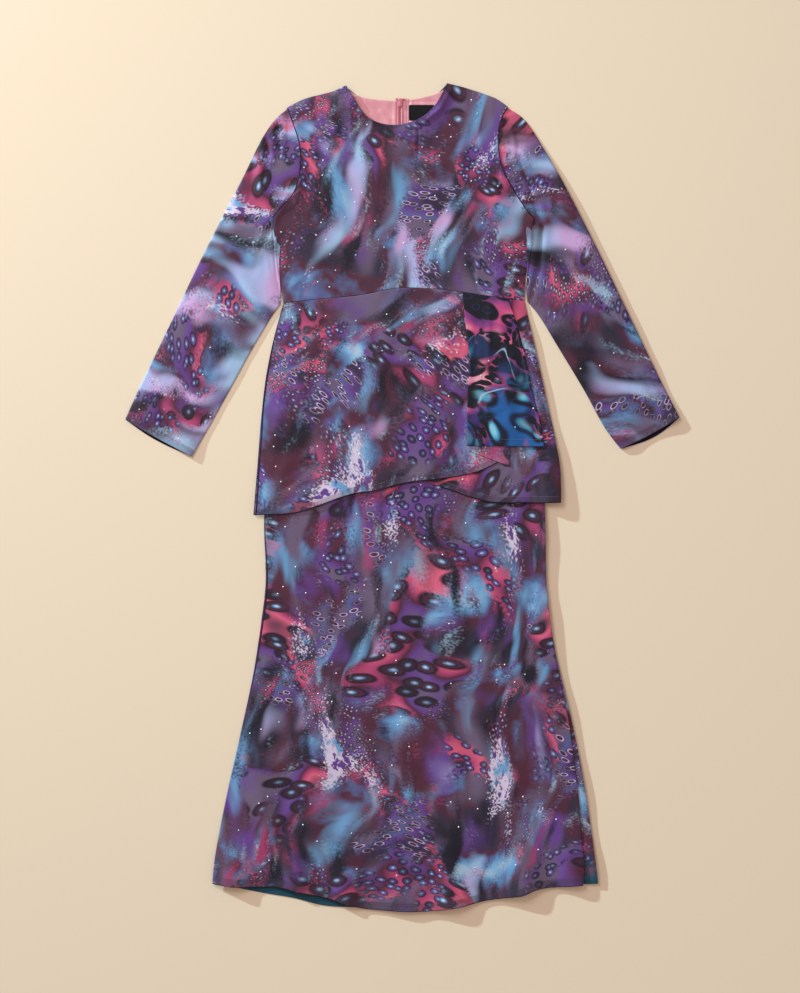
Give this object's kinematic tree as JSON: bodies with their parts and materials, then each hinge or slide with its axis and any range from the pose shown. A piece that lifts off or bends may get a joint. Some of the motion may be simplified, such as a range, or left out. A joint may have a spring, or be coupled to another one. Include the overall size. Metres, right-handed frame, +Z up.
{
  "type": "baju kurung laid flat",
  "caption": "Long-sleeved blouse with a wrapped peplum and side drape over a flared long skirt, laid flat.",
  "frame": {"origin": "middle of the footprint, on the surface that the set lies on", "axes": "+Y toward the neck, +X to the right as seen from above, +Z up from the surface"},
  "size_m": [0.954, 1.4242, 0.0089],
  "materials": {
    "printed_chiffon": "matte",
    "printed_crepe_dark": "matte",
    "lining_satin": "satin",
    "woven_label": "satin",
    "painted_zip_metal": "gloss"
  },
  "bodies": {
    "garment": {"bodice_front": "printed_chiffon", "bodice_back_left": "printed_chiffon", "bodice_back_right": "printed_chiffon", "sleeve_left": "printed_chiffon", "sleeve_right": "printed_chiffon", "peplum_back": "printed_chiffon", "peplum_front_under": "printed_chiffon", "peplum_front_over": "printed_chiffon", "peplum_cascade": "printed_chiffon", "side_drape": "printed_crepe_dark", "skirt_front": "printed_chiffon", "skirt_back": "printed_chiffon", "skirt_waistband": "lining_satin", "back_lining_left": "lining_satin", "back_lining_right": "lining_satin", "neck_label": "woven_label", "zip_tape_left": "lining_satin", "zip_tape_right": "lining_satin", "zip_chain": "lining_satin", "zip_slider": "painted_zip_metal"},
    "pull": {"zip_pull": "painted_zip_metal"}
  },
  "joints": [
    {"name": "zip_pull_hinge", "type": "hinge", "parent": "garment", "child": "pull", "pos_m": [-0.0036, 0.6856, 0.00055], "axis": [1, 0, 0], "range_deg": [0, 170]}
  ]
}
